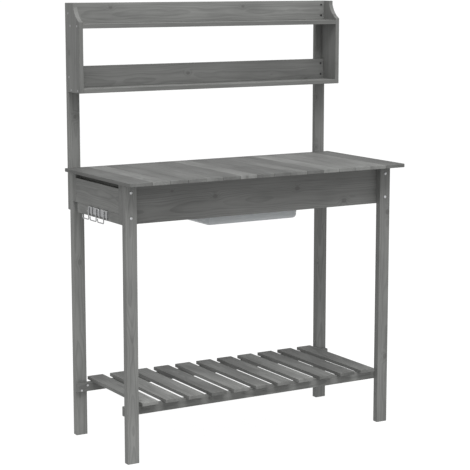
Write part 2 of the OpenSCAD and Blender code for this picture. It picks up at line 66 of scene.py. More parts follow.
class Nodes:
    """Short calls for building a node tree. A plain number or tuple is set on the socket."""

    def __init__(self, tree):
        self.tree = tree

    def put(self, socket, value):
        if isinstance(value, bpy.types.NodeSocket):
            self.tree.links.new(value, socket)
        elif value is not None:
            socket.default_value = value

    def add(self, kind, **settings):
        node = self.tree.nodes.new(kind)
        for key, value in settings.items():
            setattr(node, key, value)
        return node

    def math(self, operation, a, b=None, c=None):
        node = self.add("ShaderNodeMath", operation=operation)
        for socket, value in zip(node.inputs, (a, b, c)):
            self.put(socket, value)
        return node.outputs[0]

    def times(self, *values):
        product = values[0]
        for value in values[1:]:
            product = self.math("MULTIPLY", product, value)
        return product

    def plus(self, *values):
        total = values[0]
        for value in values[1:]:
            total = self.math("ADD", total, value)
        return total

    def vector(self, operation, a, b=None):
        node = self.add("ShaderNodeVectorMath", operation=operation)
        self.put(node.inputs[0], a)
        self.put(node.inputs[1], b)
        return node.outputs["Value"] if operation == "LENGTH" else node.outputs[0]

    def scale(self, vector, factor):
        node = self.add("ShaderNodeVectorMath", operation="SCALE")
        self.put(node.inputs[0], vector)
        self.put(node.inputs["Scale"], factor)
        return node.outputs[0]

    def split(self, vector):
        node = self.add("ShaderNodeSeparateXYZ")
        self.put(node.inputs[0], vector)
        return node.outputs[0], node.outputs[1], node.outputs[2]

    def join(self, x, y, z):
        node = self.add("ShaderNodeCombineXYZ")
        for socket, value in zip(node.inputs, (x, y, z)):
            self.put(socket, value)
        return node.outputs[0]

    def ramp(self, value, low, high, to_low=0.0, to_high=1.0, smooth=True):
        kind = "SMOOTHSTEP" if smooth else "LINEAR"
        node = self.add("ShaderNodeMapRange", interpolation_type=kind)
        for socket, number in zip(node.inputs, (value, low, high, to_low, to_high)):
            self.put(socket, number)
        return node.outputs[0]

    def noise(self, vector, scale, detail=2.0, rough=0.5, output=0):
        node = self.add("ShaderNodeTexNoise")
        self.put(node.inputs["Vector"], vector)
        self.put(node.inputs["Scale"], scale)
        self.put(node.inputs["Detail"], detail)
        self.put(node.inputs["Roughness"], rough)
        return node.outputs[output]

    def mix(self, factor, a, b):
        node = self.add("ShaderNodeMix", data_type="RGBA")
        self.put(node.inputs[0], factor)
        self.put(node.inputs[6], a)
        self.put(node.inputs[7], b)
        return node.outputs[2]

    def bump(self, shader, height, strength, distance):
        node = self.add("ShaderNodeBump")
        self.put(node.inputs["Strength"], strength)
        self.put(node.inputs["Distance"], distance)
        self.put(node.inputs["Height"], height)
        self.put(shader.inputs["Normal"], node.outputs["Normal"])


def new_material(name):
    material = bpy.data.materials.new(name)
    material.use_nodes = True
    return material, Nodes(material.node_tree), material.node_tree.nodes["Principled BSDF"]


# ---------------------------------------------------------------- camera, floor and light

CAMERA_PLACE = Vector((-2.786, -4.708, 1.585))
CAMERA_TURN = math.radians(30.58)
CAMERA_PITCH = math.radians(9.21)
LENS_MM = 121.8
SENSOR_MM = 36
VIEW_REACH = 500
FLOOR_REACH = 200.0
FLOOR_COLOR = (0.12, 0.12, 0.12, 1.0)
# The backdrop and the floor look white, and light the bench a little less than they look
SKY_LOOK = 1.0
SKY_LIGHT = 0.7
FLOOR_LOOK = 0.95
FLOOR_LIGHT = 0.55
KEY_PLACE = Vector((-0.6, -3.0, 7.3))
KEY_TARGET = Vector((0.0, 0.0, 0.8))
KEY_SIZE = 4.5
KEY_POWER = 480.0


def make_camera():
    """Camera that looks from front left, tilted down a little."""
    data = bpy.data.cameras.new("camera")
    data.lens = LENS_MM
    data.sensor_width = SENSOR_MM
    data.clip_end = VIEW_REACH
    camera = bpy.data.objects.new("camera", data)
    bpy.context.scene.collection.objects.link(camera)
    level = math.cos(CAMERA_PITCH)
    look = Vector((math.sin(CAMERA_TURN) * level, math.cos(CAMERA_TURN) * level,
                   -math.sin(CAMERA_PITCH)))
    camera.location = CAMERA_PLACE
    camera.rotation_euler = look.to_track_quat("-Z", "Y").to_euler()
    bpy.context.scene.camera = camera


def make_key_light():
    """One large soft light, high up in front of the bench."""
    data = bpy.data.lights.new("key", "AREA")
    data.shape = "SQUARE"
    data.size = KEY_SIZE
    data.energy = KEY_POWER
    light = bpy.data.objects.new("key", data)
    bpy.context.scene.collection.objects.link(light)
    light.location = KEY_PLACE
    light.rotation_euler = (KEY_TARGET - KEY_PLACE).to_track_quat("-Z", "Y").to_euler()


def glow(n, look, light):
    """Strength of a glowing backdrop: as it looks, and as it lights the bench."""
    direct = n.add("ShaderNodeLightPath").outputs["Is Camera Ray"]
    return n.ramp(direct, 0.0, 1.0, light, look, smooth=False)


def make_sky():
    """Plain white studio all round."""
    world = bpy.data.worlds.new("studio")
    world.use_nodes = True
    sky = world.node_tree.nodes["Background"]
    sky.inputs["Color"].default_value = WHITE
    n = Nodes(world.node_tree)
    n.put(sky.inputs["Strength"], glow(n, SKY_LOOK, SKY_LIGHT))
    bpy.context.scene.world = world
    bpy.context.scene.view_settings.view_transform = "Standard"


def make_floor():
    """White lightbox floor: it glows, so it stays white up to the horizon, and is clear from below."""
    mesh = bpy.data.meshes.new("floor")
    corners = [(x * FLOOR_REACH, y * FLOOR_REACH, 0) for x, y in ((-1, -1), (1, -1), (1, 1), (-1, 1))]
    mesh.from_pydata(corners, [], [(0, 1, 2, 3)])
    floor = bpy.data.objects.new("floor", mesh)
    bpy.context.scene.collection.objects.link(floor)
    material, n, shader = new_material("floor")
    shader.inputs["Base Color"].default_value = FLOOR_COLOR
    shader.inputs["Roughness"].default_value = 0.9
    shader.inputs["Specular IOR Level"].default_value = 0.0
    shader.inputs["Emission Color"].default_value = WHITE
    n.put(shader.inputs["Emission Strength"], glow(n, FLOOR_LOOK, FLOOR_LIGHT))
    sides = n.add("ShaderNodeMixShader")
    n.put(sides.inputs[0], n.add("ShaderNodeNewGeometry").outputs["Backfacing"])
    n.put(sides.inputs[1], shader.outputs[0])
    n.put(sides.inputs[2], n.add("ShaderNodeBsdfTransparent").outputs[0])
    n.put(material.node_tree.nodes["Material Output"].inputs["Surface"], sides.outputs[0])
    mesh.materials.append(material)


# ---------------------------------------------------------------- grey-stained softwood

EARLY_WOOD = (0.160, 0.162, 0.157, 1.0)
LATE_WOOD = (0.094, 0.096, 0.093, 1.0)
KNOT_WOOD = (0.078, 0.075, 0.071, 1.0)
KNOT_RIM = (0.050, 0.048, 0.046, 1.0)
WORN_WOOD = (0.27, 0.266, 0.255, 1.0)
# How strongly each colour is mixed in where its feature is
LATE_MIX = 0.52
KNOT_MIX = 0.48
RIM_MIX = 0.22
SWIRL_MIX = 0.16
WEAR_MIX = 0.16
# How much lighter or darker the wood gets with each pattern
FIBRE_SHADE = 0.10
STREAK_SHADE = 0.13
CLOUD_SHADE = 0.12
# How much of the ends' tone the sawn edges take
EDGE_SHARE = 0.7
# A knot may stand in each cell of this length and width, and is longer along the grain than across
KNOT_CELL = Vector((0.17, 0.060))
KNOT_STRETCH = 0.72
KNOT_RADII = (3.0 * MM, 7.5 * MM)
# How far a knot pushes the rings aside, and how far the pith wanders
KNOT_PUSH = 7.0 * MM
PITH_WANDER = 30.0 * MM
# How near to an edge wear begins, and where it is at its full strength
WEAR_REACH = 3.2 * MM
WEAR_FULL = 0.4 * MM
# How often each pattern changes in a metre: along, across and through the board
WANDER_RATE = (2.6, 7.0, 7.0)
FIBRE_RATE = (14.0, 620.0, 620.0)
STREAK_RATE = (3.5, 95.0, 95.0)
CLOUD_RATE = (4.0, 14.0, 14.0)
RUB_RATE = (30.0, 90.0, 90.0)


def wood_knots(n, given, shifted):
    """A knot's heart, its dark rim, the swirl of grain round it, and the distance from it in radii.

    Each cell of a stretched grid has one candidate, kept where the cell's random number is high.
    """
    along, across, _ = n.split(given["Place"])
    shift_along, shift_across, _ = n.split(given["Shift"])
    grid = n.join(n.math("DIVIDE", n.plus(along, shift_along), KNOT_CELL.x),
                  n.math("DIVIDE", n.plus(across, shift_across), KNOT_CELL.y), 0.0)
    cells = n.add("ShaderNodeTexVoronoi", voronoi_dimensions="2D", feature="F1")
    n.put(cells.inputs["Vector"], grid)
    n.put(cells.inputs["Scale"], 1.0)
    n.put(cells.inputs["Randomness"], 0.9)
    away_x, away_y, _ = n.split(n.vector("SUBTRACT", grid, cells.outputs["Position"]))
    far = n.vector("LENGTH", n.join(n.times(away_x, KNOT_CELL.x * KNOT_STRETCH),
                                    n.times(away_y, KNOT_CELL.y), 0.0))
    luck, girth, _ = n.split(cells.outputs["Color"])
    present = n.ramp(luck, n.math("SUBTRACT", 1.0, given["Knots"]),
                     n.math("SUBTRACT", 1.04, given["Knots"]), smooth=False)
    reach = n.math("DIVIDE", far, n.ramp(girth, 0.0, 1.0, *KNOT_RADII, smooth=False))
    ragged = n.math("SUBTRACT", n.noise(shifted, 260.0), 0.5)
    reach = n.plus(reach, n.times(ragged, 0.5))
    heart = n.times(n.ramp(reach, 1.0, 0.82), present)
    rim = n.times(n.ramp(reach, 1.28, 1.02), n.ramp(reach, 0.7, 0.98), present)
    swirl = n.times(n.ramp(reach, 3.6, 0.4), present)
    return heart, rim, swirl, reach


def wood_rings(n, given, shifted, swirl):
    """Late wood of the growth rings: distance from a wandering pith, pushed aside by each knot."""
    wander = n.noise(n.vector("MULTIPLY", shifted, WANDER_RATE), 1.0, 3.0, output="Color")
    drift = n.vector("MULTIPLY", n.vector("SUBTRACT", wander, (0.5, 0.5, 0.5)),
                     (0.0, PITH_WANDER, PITH_WANDER))
    from_pith = n.vector("ADD", n.vector("SUBTRACT", given["Place"], given["Pith"]), drift)
    flat = n.vector("MULTIPLY", from_pith, (0.0, 1.0, 1.0))
    distance = n.plus(n.vector("LENGTH", flat), n.times(swirl, KNOT_PUSH))
    ring_at = n.math("DIVIDE", distance, given["Ring"])
    phase = n.math("FRACT", ring_at)
    late = n.times(n.ramp(phase, 0.30, 0.90), n.ramp(phase, 1.0, 0.93))
    each_ring = n.add("ShaderNodeTexWhiteNoise", noise_dimensions="1D")
    n.put(each_ring.inputs["W"], n.math("FLOOR", ring_at))
    return n.times(late, n.ramp(each_ring.outputs["Value"], 0.0, 1.0, 0.35, 1.0, smooth=False))


def wood_wear(n, given, shifted):
    """Wear where two faces meet: the second nearest of the board's face planes is close."""
    inside = n.vector("SUBTRACT", n.vector("ABSOLUTE", given["Place"]), given["Half Size"])
    near_x, near_y, near_z = n.split(inside)
    larger = n.math("MAXIMUM", near_x, near_y)
    smaller = n.math("MINIMUM", near_x, near_y)
    second = n.math("MAXIMUM", smaller, n.math("MINIMUM", larger, near_z))
    rub = n.noise(n.vector("MULTIPLY", shifted, RUB_RATE), 1.0, 3.0, 0.6)
    return n.times(n.ramp(second, -WEAR_REACH, -WEAR_FULL), n.ramp(rub, 0.42, 0.62))


def make_wood_group():
    """Node group for one board, whose grain runs along X, its width along Y and its thickness along Z."""
    tree = bpy.data.node_groups.new("stained_softwood", "ShaderNodeTree")
    for name in ("Place", "Normal", "Half Size", "Pith", "Shift"):
        tree.interface.new_socket(name, in_out="INPUT", socket_type="NodeSocketVector")
    for name in ("Tone", "Ring", "Knots", "End Tone", "Clouds"):
        tree.interface.new_socket(name, in_out="INPUT", socket_type="NodeSocketFloat")
    tree.interface.new_socket("Color", in_out="OUTPUT", socket_type="NodeSocketColor")
    for name in ("Roughness", "Height"):
        tree.interface.new_socket(name, in_out="OUTPUT", socket_type="NodeSocketFloat")
    n = Nodes(tree)
    given = n.add("NodeGroupInput").outputs
    shifted = n.vector("ADD", given["Place"], given["Shift"])
    knot, rim, swirl, reach = wood_knots(n, given, shifted)
    late = wood_rings(n, given, shifted, swirl)
    fibre = n.noise(n.vector("MULTIPLY", shifted, FIBRE_RATE), 1.0, 3.0, 0.6)
    streak = n.noise(n.vector("MULTIPLY", shifted, STREAK_RATE), 1.0, 3.0, 0.55)
    cloud = n.noise(n.vector("MULTIPLY", shifted, CLOUD_RATE), 1.0)

    shade = n.plus(n.ramp(fibre, 0.25, 0.75, -FIBRE_SHADE, FIBRE_SHADE, smooth=False),
                   n.ramp(streak, 0.25, 0.75, -STREAK_SHADE, STREAK_SHADE, smooth=False))
    clouds = n.ramp(cloud, 0.3, 0.7, -CLOUD_SHADE, CLOUD_SHADE, smooth=False)
    shade = n.plus(shade, n.times(clouds, given["Clouds"]), 1.0)
    wood = n.mix(n.times(late, LATE_MIX), EARLY_WOOD, LATE_WOOD)
    wood = n.scale(wood, n.times(shade, given["Tone"]))
    knot_rings = n.times(n.plus(n.math("SINE", n.times(reach, 15.0)), 1.0), 0.2)
    wood = n.mix(n.times(knot, KNOT_MIX), wood, n.mix(knot_rings, KNOT_WOOD, KNOT_RIM))
    wood = n.mix(n.times(rim, RIM_MIX), wood, KNOT_RIM)
    wood = n.mix(n.times(n.math("SUBTRACT", swirl, knot), SWIRL_MIX), wood, LATE_WOOD)

    # the ends, and the sawn edges a little less, are scaled by End Tone: below 1 it is the darker stain
    # of end grain, and above 1, on the worktop's planks and the slats, it is painted light on their ends
    # and edges
    facing_end, facing_edge, _ = n.split(n.vector("ABSOLUTE", given["Normal"]))
    end_face = n.math("MAXIMUM", n.ramp(facing_end, 0.6, 0.9),
                      n.ramp(facing_edge, 0.6, 0.9, 0.0, EDGE_SHARE))
    end_change = n.math("SUBTRACT", given["End Tone"], 1.0)
    wood = n.scale(wood, n.math("MULTIPLY_ADD", end_face, end_change, 1.0))
    wood = n.mix(n.times(wood_wear(n, given, shifted), WEAR_MIX), wood, WORN_WOOD)

    roughness = n.ramp(streak, 0.3, 0.7, 0.58, 0.74, smooth=False)
    out = n.add("NodeGroupOutput")
    n.put(out.inputs["Color"], wood)
    n.put(out.inputs["Roughness"], n.math("SUBTRACT", roughness, n.times(knot, 0.12)))
    n.put(out.inputs["Height"], n.plus(n.times(late, 0.5), n.times(fibre, 0.6), n.times(knot, 0.7)))
    return tree


WOOD = make_wood_group()


def wood_material(name, low, high, axes, tone, knots, end_tone, clouds):
    """axes are the board's directions along the grain, across its width and through its thickness."""
    material, n, shader = new_material(name)
    centre = (low + high) / 2
    half = (high - low) / 2
    coordinates = n.add("ShaderNodeTexCoord")
    placed = n.split(n.vector("SUBTRACT", coordinates.outputs["Object"], tuple(centre)))
    facing = n.split(coordinates.outputs["Normal"])
    group = n.add("ShaderNodeGroup", node_tree=WOOD)
    n.put(group.inputs["Place"], n.join(*(placed[a] for a in axes)))
    n.put(group.inputs["Normal"], n.join(*(facing[a] for a in axes)))
    n.put(group.inputs["Half Size"], tuple(half[a] for a in axes))
    pith = (0.0, chance.uniform(-0.5, 0.5) * half[axes[1]], -chance.uniform(30, 70) * MM)
    n.put(group.inputs["Pith"], pith)
    n.put(group.inputs["Shift"], tuple(chance.uniform(-40, 40) for _ in range(3)))
    n.put(group.inputs["Tone"], tone)
    n.put(group.inputs["Ring"], chance.uniform(2.6, 4.4) * MM)
    n.put(group.inputs["Knots"], knots)
    n.put(group.inputs["End Tone"], end_tone)
    n.put(group.inputs["Clouds"], clouds)
    n.put(shader.inputs["Base Color"], group.outputs["Color"])
    n.put(shader.inputs["Roughness"], group.outputs["Roughness"])
    shader.inputs["Specular IOR Level"].default_value = 0.32
    n.bump(shader, group.outputs["Height"], 0.55, 0.25 * MM)
    return material


# ---------------------------------------------------------------- metal and plastic

TUB_DARK = (0.68, 0.71, 0.725, 1.0)
TUB_LIGHT = (0.75, 0.775, 0.79, 1.0)


def metal_material(name, color, roughness, dark_share):
    """Zinc plating: cloudy spangle in colour and gloss, with a fine grit."""
    material, n, shader = new_material(name)
    place = n.add("ShaderNodeTexCoord").outputs["Object"]
    cloud = n.noise(place, 420.0, 3.0)
    dark = tuple(c * dark_share for c in color) + (1.0,)
    n.put(shader.inputs["Base Color"], n.mix(n.ramp(cloud, 0.3, 0.7), color + (1.0,), dark))
    n.put(shader.inputs["Roughness"], n.ramp(cloud, 0.3, 0.7, roughness - 0.07, roughness + 0.09))
    shader.inputs["Metallic"].default_value = 1.0
    n.bump(shader, n.noise(place, 2600.0), 0.25, 0.04 * MM)
    return material


def plastic_material():
    """Milky polypropylene with a fine moulded texture and a few rubbed patches."""
    material, n, shader = new_material("tub_plastic")
    place = n.add("ShaderNodeTexCoord").outputs["Object"]
    milk = n.noise(place, 9.0, 3.0)
    rubbed = n.noise(n.vector("MULTIPLY", place, (60.0, 60.0, 14.0)), 1.0, 4.0, 0.6)
    n.put(shader.inputs["Base Color"], n.mix(n.ramp(milk, 0.3, 0.7), TUB_DARK, TUB_LIGHT))
    n.put(shader.inputs["Roughness"], n.ramp(rubbed, 0.35, 0.65, 0.28, 0.42))
    shader.inputs["Transmission Weight"].default_value = 0.45
    shader.inputs["IOR"].default_value = 1.49
    n.bump(shader, n.noise(place, 1400.0), 0.3, 0.05 * MM)
    return material


ZINC = metal_material("zinc", (0.80, 0.81, 0.82), 0.34, 0.85)
SOFT_ZINC = metal_material("soft_zinc", (0.50, 0.505, 0.51), 0.38, 0.85)
WIRE_ZINC = metal_material("wire_zinc", (0.56, 0.565, 0.57), 0.42, 0.85)
SHEET_ZINC = metal_material("sheet_zinc", (0.56, 0.565, 0.57), 0.5, 0.88)
DULL_ZINC = metal_material("dull_zinc", (0.12, 0.12, 0.125), 0.42, 0.7)


# ---------------------------------------------------------------- mesh helpers


def finish_piece(name, bm, material, smooth=True):
    """Object from a bmesh, with clean normals."""
    bmesh.ops.recalc_face_normals(bm, faces=bm.faces)
    mesh = bpy.data.meshes.new(name)
    bm.to_mesh(mesh)
    bm.free()
    mesh.polygons.foreach_set("use_smooth", [smooth] * len(mesh.polygons))
    mesh.materials.append(material)
    piece = bpy.data.objects.new(name, mesh)
    bpy.context.scene.collection.objects.link(piece)
    return piece


def weigh_normals(piece):
    """Flat faces look flat, and only the rounded edges between them turn the light."""
    modifier = piece.modifiers.new("even faces", "WEIGHTED_NORMAL")
    modifier.keep_sharp = True
    modifier.weight = 80


def stand_for(piece, node):
    """The piece takes the CAD node's body and place, and the node is hidden."""
    bodies = frame["record"]["behaviour"]["bodies"]
    body = next(name for name, members in bodies.items() if node in members)
    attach(piece, body)
    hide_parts(node)


def islands(node):
    """The separate solids of a CAD node, each as (lowest corner, highest corner, points)."""
    bm = bmesh.new()
    bm.from_mesh(frame["nodes"][node].data)
    bmesh.ops.remove_doubles(bm, verts=bm.verts, dist=0.002 * MM)
    seen = set()
    found = []
    for start in bm.verts:
        if start.index in seen:
            continue
        stack = [start]
        members = []
        seen.add(start.index)
        while stack:
            vert = stack.pop()
            members.append(vert.co.copy())
            for edge in vert.link_edges:
                other = edge.other_vert(vert)
                if other.index not in seen:
                    seen.add(other.index)
                    stack.append(other)
        low = Vector(min(p[a] for p in members) for a in (X, Y, Z))
        high = Vector(max(p[a] for p in members) for a in (X, Y, Z))
        found.append((low, high, members))
    bm.free()
    return found


def in_mm(*points):
    """Points given in millimetres, in metres."""
    return [(a * MM, b * MM) for a, b in points]


def lathe(bm, profile, steps=24):
    """Surface of revolution about Z. profile runs from the axis at the top to the axis at the foot."""
    rings = []
    for radius, height in profile:
        if radius == 0:
            rings.append([bm.verts.new((0, 0, height))])
            continue
        rings.append([bm.verts.new((radius * math.cos(2 * math.pi * i / steps),
                                    radius * math.sin(2 * math.pi * i / steps), height))
                      for i in range(steps)])
    for upper, lower in zip(rings, rings[1:]):
        for i in range(steps):
            j = (i + 1) % steps
            corners = [upper[i % len(upper)], upper[j % len(upper)],
                       lower[j % len(lower)], lower[i % len(lower)]]
            bm.faces.new(list(dict.fromkeys(corners)))


def skin(bm, rings):
    """Faces between neighbouring rings of vertices, and one across each end."""
    for one, two in zip(rings, rings[1:]):
        for i in range(len(one)):
            j = (i + 1) % len(one)
            bm.faces.new((one[i], one[j], two[j], two[i]))
    bm.faces.new(rings[0][::-1])
    bm.faces.new(rings[-1])


def cut(piece, cutter):
    """Takes the cutter's volume out of the piece, and leaves a plain mesh."""
    modifier = piece.modifiers.new("cut", "BOOLEAN")
    modifier.operation = "DIFFERENCE"
    modifier.solver = "EXACT"
    modifier.object = cutter
    bpy.context.view_layer.update()
    evaluated = piece.evaluated_get(bpy.context.evaluated_depsgraph_get())
    mesh = bpy.data.meshes.new_from_object(evaluated)
    piece.modifiers.remove(modifier)
    old = piece.data
    piece.data = mesh
    bpy.data.meshes.remove(old)
    bpy.data.objects.remove(cutter)


# ---------------------------------------------------------------- fasteners

# The masters' lengths. Below the depth of the neck, the shaft is stretched to each fastener's length
SCREW_LENGTH = 20 * MM
BOLT_LENGTH = 40 * MM
BOLT_HEAD = 3 * MM
NECK = 6 * MM
RECESS_ARM = 2.2 * MM
RECESS_SLOT = 0.42 * MM
RECESS_TAPER = 0.35
STAPLE_BEND = 1.6 * MM
HUTCH_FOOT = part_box("hutch_panel_left")[0].z


class Fastener:
    """A screw or bolt read from its CAD solid: its head's outer face, and which way it points."""

    def __init__(self, low, high, points):
        size = high - low
        self.axis = max((X, Y, Z), key=lambda a: size[a])
        middle = (low + high) / 2
        self.length = size[self.axis]
        others = [a for a in (X, Y, Z) if a != self.axis]
        self.head_radius = size[others[0]] / 2
        wide = [p[self.axis] for p in points
                if math.hypot(*(p[a] - middle[a] for a in others)) > 0.9 * self.head_radius]
        head_is_high = sum(wide) / len(wide) > middle[self.axis]
        self.head = middle.copy()
        self.head[self.axis] = high[self.axis] if head_is_high else low[self.axis]
        self.into = Vector((0, 0, 0))
        self.into[self.axis] = -1.0 if head_is_high else 1.0

    def matrix(self, spin):
        """From a fastener whose head is at Z = 0 and which points down."""
        turn = (-self.into).to_track_quat("Z", "Y").to_matrix().to_4x4()
        return Matrix.Translation(self.head) @ turn @ Matrix.Rotation(spin, 4, "Z")


def is_fastener(low, high, points):
    """A screw or bolt is as wide one way as the other; a staple isn't."""
    size = sorted(high - low)
    return size[1] - size[0] < 0.3 * MM


def cross(bm, arm, slot, height):
    """Ring of vertices round a cross."""
    corners = [(arm, -slot), (arm, slot), (slot, slot), (slot, arm), (-slot, arm), (-slot, slot)]
    corners += [(-x, -y) for x, y in corners]
    return [bm.verts.new((x, y, height)) for x, y in corners]


def screw_master():
    """Countersunk wood screw with a cross recess."""
    bm = bmesh.new()
    lathe(bm, in_mm((0, 0), (3.0, 0), (3.75, -0.06), (3.9, -0.2), (3.88, -0.42), (1.95, -2.7),
                    (1.7, -3.4), (1.7, -5), (1.7, -16), (0.5, -19.4), (0, -20)))
    master = finish_piece("screw_master", bm, ZINC)
    bm = bmesh.new()
    skin(bm, [cross(bm, RECESS_ARM, RECESS_SLOT, 1.0 * MM),
              cross(bm, RECESS_ARM * RECESS_TAPER, RECESS_SLOT, -1.6 * MM)])
    cut(master, finish_piece("screw_recess", bm, ZINC))
    return master


def bolt_master():
    """Low round-headed bolt with a hexagon socket."""
    bm = bmesh.new()
    lathe(bm, in_mm((0, 3), (2.4, 2.95), (3.6, 2.6), (4.5, 1.85), (4.9, 0.9), (5.0, 0.25), (4.9, 0),
                    (3.0, 0), (2.95, -5), (2.95, -39), (2.2, -40), (0, -40)), 32)
    master = finish_piece("bolt_master", bm, ZINC)
    bm = bmesh.new()
    bmesh.ops.create_cone(bm, segments=6, radius1=2.1 * MM, radius2=2.3 * MM, depth=4 * MM,
                          cap_ends=True)
    bmesh.ops.translate(bm, verts=bm.verts, vec=(0, 0, 3.1 * MM))
    cut(master, finish_piece("bolt_socket", bm, ZINC))
    return master


def fastener_group(node, master, master_length, head_height, material):
    """All a node's fasteners as one piece: the master at each place, with its own length and turn."""
    found = [Fastener(*island) for island in islands(node) if is_fastener(*island)]
    bm = bmesh.new()
    for fastener in found:
        longer = fastener.length - head_height - master_length
        start = len(bm.verts)
        bm.from_mesh(master.data)
        bm.verts.ensure_lookup_table()
        added = bm.verts[start:]
        # the hutch's screws are of a duller zinc than the frame's
        if node == "frame_screws" and fastener.head.z > HUTCH_FOOT:
            for face in {face for vert in added for face in vert.link_faces}:
                face.material_index = 1
        for vert in added:
            if vert.co.z < -NECK:
                vert.co.z -= longer
            vert.co.z -= head_height
        bmesh.ops.transform(bm, matrix=fastener.matrix(chance.uniform(0, math.pi)), verts=added)
    if node == "frame_screws":
        add_staples(bm)
    piece = finish_piece(node + "_detail", bm, material, smooth=False)
    if node == "frame_screws":
        piece.data.materials.append(SOFT_ZINC)
    stand_for(piece, node)
    return found


def staple_route(low, high, r):
    """Middle line of a staple's wire seen from above: a leg into the rail, two bends and a leg back."""
    bend_start = low.x + r + STAPLE_BEND
    route = [Vector((high.x, low.y + r)), Vector((bend_start, low.y + r))]
    turns = [k * math.pi / 8 for k in range(5)]
    for side, centre_y, angles in ((-1, low.y + r + STAPLE_BEND, turns),
                                   (1, high.y - r - STAPLE_BEND, turns[::-1])):
        route += [Vector((bend_start - STAPLE_BEND * math.sin(t),
                          centre_y + side * STAPLE_BEND * math.cos(t))) for t in angles]
    route += [Vector((bend_start, high.y - r)), Vector((high.x, high.y - r))]
    return [p for i, p in enumerate(route) if i == 0 or (p - route[i - 1]).length > 0.01 * MM]


def add_staples(bm):
    """The three staples keep the shape of their CAD solids, with a rounder wire."""
    steps = 12
    for low, high, points in islands("frame_screws"):
        if is_fastener(low, high, points):
            continue
        r = (high.z - low.z) / 2
        route = staple_route(low, high, r)
        rings = []
        for i, point in enumerate(route):
            ahead = route[min(i + 1, len(route) - 1)] - route[max(i - 1, 0)]
            side = Vector((-ahead.y, ahead.x)).normalized() * r
            rings.append([bm.verts.new((point.x + side.x * math.cos(a), point.y + side.y * math.cos(a),
                                        (low.z + high.z) / 2 + r * math.sin(a)))
                          for a in (2 * math.pi * k / steps for k in range(steps))])
        skin(bm, rings)


def make_fasteners():
    """Every screw and bolt, for the boards to take their recesses from."""
    screw = screw_master()
    bolt = bolt_master()
    found = fastener_group("leg_bolts", bolt, BOLT_LENGTH, BOLT_HEAD, ZINC)
    for node, metal in (("frame_screws", ZINC), ("back_screws", DULL_ZINC), ("cover_screws", ZINC)):
        found += fastener_group(node, screw, SCREW_LENGTH, 0.0, metal)
    for master in (screw, bolt):
        bpy.data.objects.remove(master)
    return found


# ---------------------------------------------------------------- boards

PANEL_TOP_DEPTH = 50 * MM
PANEL_LIP = 13 * MM
PANEL_CURVE_HEIGHT = 50 * MM
PANEL_CURVE_RADIUS = 83 * MM
TOP_CORNER_RADIUS = 9 * MM
REBATE_WIDTH = 7 * MM
REBATE_DEPTH = 9 * MM
EDGE_RADII = (1.1, 1.5)
# A wider head than this lies in a counterbore instead of a countersink
SCREW_HEAD_LIMIT = 4.5 * MM
HEAD_CLEARANCE = 0.12 * MM
SINK_FLARE = 0.35 * MM
# Depths below the board's surface. A cutter starts above it, so that it cuts cleanly
CUT_START = 2 * MM
COUNTERBORE_DEPTH = 3 * MM
SINK_DEPTH = 3.2 * MM
PILOT_DEPTH = 6 * MM
PILOT_RADIUS = 2.1 * MM
built = []


def recess_cutter(low, high):
    """Cutter for every fastener whose head lies in this board's surface, or None."""
    bm = bmesh.new()
    for f in FASTENERS:
        inside = all(low[a] < f.head[a] < high[a] for a in (X, Y, Z) if a != f.axis)
        surface = low[f.axis] if f.into[f.axis] > 0 else high[f.axis]
        if not inside or abs(surface - f.head[f.axis]) > 0.05 * MM:
            continue
        start = len(bm.verts)
        r = f.head_radius + HEAD_CLEARANCE
        if f.head_radius > SCREW_HEAD_LIMIT:
            lathe(bm, [(0, CUT_START), (r, CUT_START),
                       (r, -COUNTERBORE_DEPTH), (0, -COUNTERBORE_DEPTH)], 32)
        else:
            flare = r + SINK_FLARE
            lathe(bm, [(0, CUT_START), (flare, CUT_START), (flare, 0.02 * MM), (r, -0.4 * MM),
                       (PILOT_RADIUS, -SINK_DEPTH), (PILOT_RADIUS, -PILOT_DEPTH), (0, -PILOT_DEPTH)])
        bm.verts.ensure_lookup_table()
        bmesh.ops.transform(bm, matrix=f.matrix(0), verts=bm.verts[start:])
    if not bm.verts:
        bm.free()
        return None
    return finish_piece("recesses", bm, ZINC)


def round_edges(bm, edges, radius):
    bmesh.ops.bevel(bm, geom=edges, offset=radius, segments=3, profile=0.5, affect="EDGES")


def rounded_block(low, high, radius):
    """Block with every edge rounded."""
    bm = bmesh.new()
    bmesh.ops.create_cube(bm, size=1.0)
    for vert in bm.verts:
        vert.co = Vector((high[a] if vert.co[a] > 0 else low[a]) for a in (X, Y, Z))
    round_edges(bm, list(bm.edges), radius)
    return bm


def rounded_prism(outline, radius):
    """Prism with round edges. outline is (its two axes, its points, the third axis, from, to)."""
    (u, v), points, w, start, stop = outline
    bm = bmesh.new()
    ends = []
    for level in (start, stop):
        ring = []
        for point in points:
            place = Vector((0, 0, 0))
            place[u], place[v], place[w] = point[0], point[1], level
            ring.append(bm.verts.new(place))
        ends.append(ring)
    skin(bm, ends)
    bmesh.ops.recalc_face_normals(bm, faces=bm.faces)
    sharp = [edge for edge in bm.edges if edge.calc_face_angle() > math.radians(25)]
    round_edges(bm, sharp, radius)
    return bm


def arc_points(centre, radius, start, stop, steps):
    turns = [start + (stop - start) * k / steps for k in range(steps + 1)]
    return [(centre[0] + radius * math.cos(t), centre[1] + radius * math.sin(t)) for t in turns]


def panel_outline(node):
    """Hutch side panel, with a hollow curve at the front from its shallow top to its full depth."""
    low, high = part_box(node)
    top = Vector((high.y - PANEL_TOP_DEPTH, high.z - PANEL_LIP))
    foot = Vector((low.y, top.y - PANEL_CURVE_HEIGHT))
    run = top - foot
    reach = math.sqrt(PANEL_CURVE_RADIUS ** 2 - run.length ** 2 / 4)
    centre = (top + foot) / 2 + Vector((-run.y, run.x)).normalized() * reach
    start = math.atan2(*reversed(foot - centre))
    stop = math.atan2(*reversed(top - centre))
    points = [(low.y, low.z)] + arc_points(centre, PANEL_CURVE_RADIUS, start, stop, 16)
    points += [(top.x, high.z), (high.y, high.z), (high.y, low.z)]
    return (Y, Z), points, X, low.x, high.x


